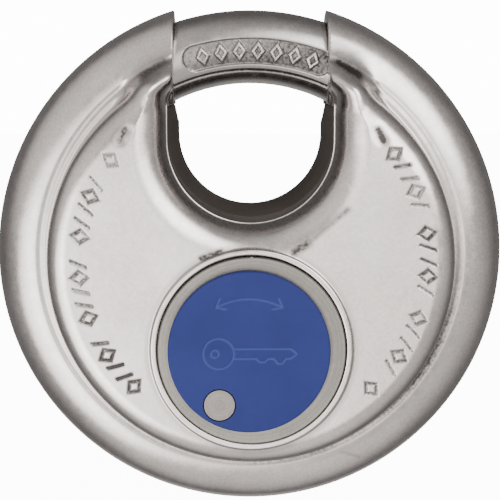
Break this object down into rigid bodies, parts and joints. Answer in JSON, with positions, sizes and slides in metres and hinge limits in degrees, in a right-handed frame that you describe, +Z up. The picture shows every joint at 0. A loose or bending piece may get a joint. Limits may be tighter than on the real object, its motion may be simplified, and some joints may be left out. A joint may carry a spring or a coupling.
{
  "type": "disc padlock",
  "caption": "Round disc padlock: stainless shells, a C-shaped shackle that swings across a U notch, a pin-tumbler cylinder and a swivelling blue keyway cover.",
  "frame": {"origin": "middle of the shackle bar's underside, where the lock hangs on a staple", "axes": "+Z up towards the top of the shackle, +Y out of the flat back face, so the keyway side faces -Y"},
  "size_m": [0.07, 0.0275, 0.0684],
  "materials": {
    "stainless_shell": "satin stainless steel",
    "shackle_steel": "satin hardened stainless bar",
    "dark_liner": "matte dark glass-filled nylon",
    "zinc_case": "zinc die casting, as cast",
    "bright_steel": "ground steel",
    "dark_steel": "hardened steel, black oxide",
    "nickel_plate": "brass, satin nickel plated",
    "brass": "turned brass",
    "blue_plastic": "satin blue moulded plastic",
    "rivet_steel": "turned stainless rivet",
    "seal_rubber": "black rubber"
  },
  "bodies": {
    "body": {"front_shell": "stainless_shell", "rear_shell": "stainless_shell", "notch_liner": "dark_liner", "front_case": "zinc_case", "rear_case": "zinc_case", "case_dowels": "bright_steel", "case_screws": "dark_steel", "cylinder_housing": "nickel_plate", "face_seal": "seal_rubber", "housing_circlip": "dark_steel", "anti_drill_pins": "dark_steel", "chamber_strip": "brass", "pin_spring_1": "bright_steel", "pin_spring_2": "bright_steel", "pin_spring_3": "bright_steel", "pin_spring_4": "bright_steel", "pin_spring_5": "bright_steel", "cover_rivet": "rivet_steel", "cover_washer": "bright_steel"},
    "plug": {"plug": "brass", "thrust_washer": "brass", "crank": "dark_steel", "drive_pin": "bright_steel", "crank_screw": "dark_steel"},
    "shackle": {"shackle": "shackle_steel", "drive_arm": "dark_steel", "arm_rivets": "bright_steel"},
    "cover": {"keyway_cover": "blue_plastic"},
    "key_pin_1": {"key_pin_1": "brass"},
    "driver_pin_1": {"driver_pin_1": "bright_steel"},
    "key_pin_2": {"key_pin_2": "brass"},
    "driver_pin_2": {"driver_pin_2": "bright_steel"},
    "key_pin_3": {"key_pin_3": "brass"},
    "driver_pin_3": {"driver_pin_3": "bright_steel"},
    "key_pin_4": {"key_pin_4": "brass"},
    "driver_pin_4": {"driver_pin_4": "bright_steel"},
    "key_pin_5": {"key_pin_5": "brass"},
    "driver_pin_5": {"driver_pin_5": "bright_steel"}
  },
  "joints": [
    {"name": "plug_turn", "type": "hinge", "parent": "body", "child": "plug", "pos_m": [0, 0, -0.0352], "axis": [0, 1, 0], "range_deg": [0, 180]},
    {"name": "shackle_swing", "type": "hinge", "parent": "body", "child": "shackle", "pos_m": [0, 0, -0.0234], "axis": [0, 1, 0], "range_deg": [0, 74.69]},
    {"name": "cover_swing", "type": "hinge", "parent": "body", "child": "cover", "pos_m": [-0.00425, 0, -0.04205], "axis": [0, 1, 0], "range_deg": [-135, 135]},
    {"name": "driver_pin_1_slide", "type": "slide", "parent": "body", "child": "driver_pin_1", "axis": [0, 0, 1], "range_m": [0, 0.0013], "stiffness_N_per_m": 60, "springref_m": -0.002, "deforming": ["pin_spring_1"]},
    {"name": "driver_pin_2_slide", "type": "slide", "parent": "body", "child": "driver_pin_2", "axis": [0, 0, 1], "range_m": [0, 0.0013], "stiffness_N_per_m": 60, "springref_m": -0.002, "deforming": ["pin_spring_2"]},
    {"name": "driver_pin_3_slide", "type": "slide", "parent": "body", "child": "driver_pin_3", "axis": [0, 0, 1], "range_m": [0, 0.0013], "stiffness_N_per_m": 60, "springref_m": -0.002, "deforming": ["pin_spring_3"]},
    {"name": "driver_pin_4_slide", "type": "slide", "parent": "body", "child": "driver_pin_4", "axis": [0, 0, 1], "range_m": [0, 0.0013], "stiffness_N_per_m": 60, "springref_m": -0.002, "deforming": ["pin_spring_4"]},
    {"name": "driver_pin_5_slide", "type": "slide", "parent": "body", "child": "driver_pin_5", "axis": [0, 0, 1], "range_m": [0, 0.0013], "stiffness_N_per_m": 60, "springref_m": -0.002, "deforming": ["pin_spring_5"]},
    {"name": "key_pin_1_slide", "type": "slide", "parent": "plug", "child": "key_pin_1", "axis": [0, 0, 1], "range_m": [0, 0.0024]},
    {"name": "key_pin_2_slide", "type": "slide", "parent": "plug", "child": "key_pin_2", "axis": [0, 0, 1], "range_m": [0, 0.0016]},
    {"name": "key_pin_3_slide", "type": "slide", "parent": "plug", "child": "key_pin_3", "axis": [0, 0, 1], "range_m": [0, 0.003]},
    {"name": "key_pin_4_slide", "type": "slide", "parent": "plug", "child": "key_pin_4", "axis": [0, 0, 1], "range_m": [0, 0.0012]},
    {"name": "key_pin_5_slide", "type": "slide", "parent": "plug", "child": "key_pin_5", "axis": [0, 0, 1], "range_m": [0, 0.002]}
  ],
  "couplings": [
    {"joint": "shackle_swing", "follows": "plug_turn", "ratio": 0.41481}
  ]
}
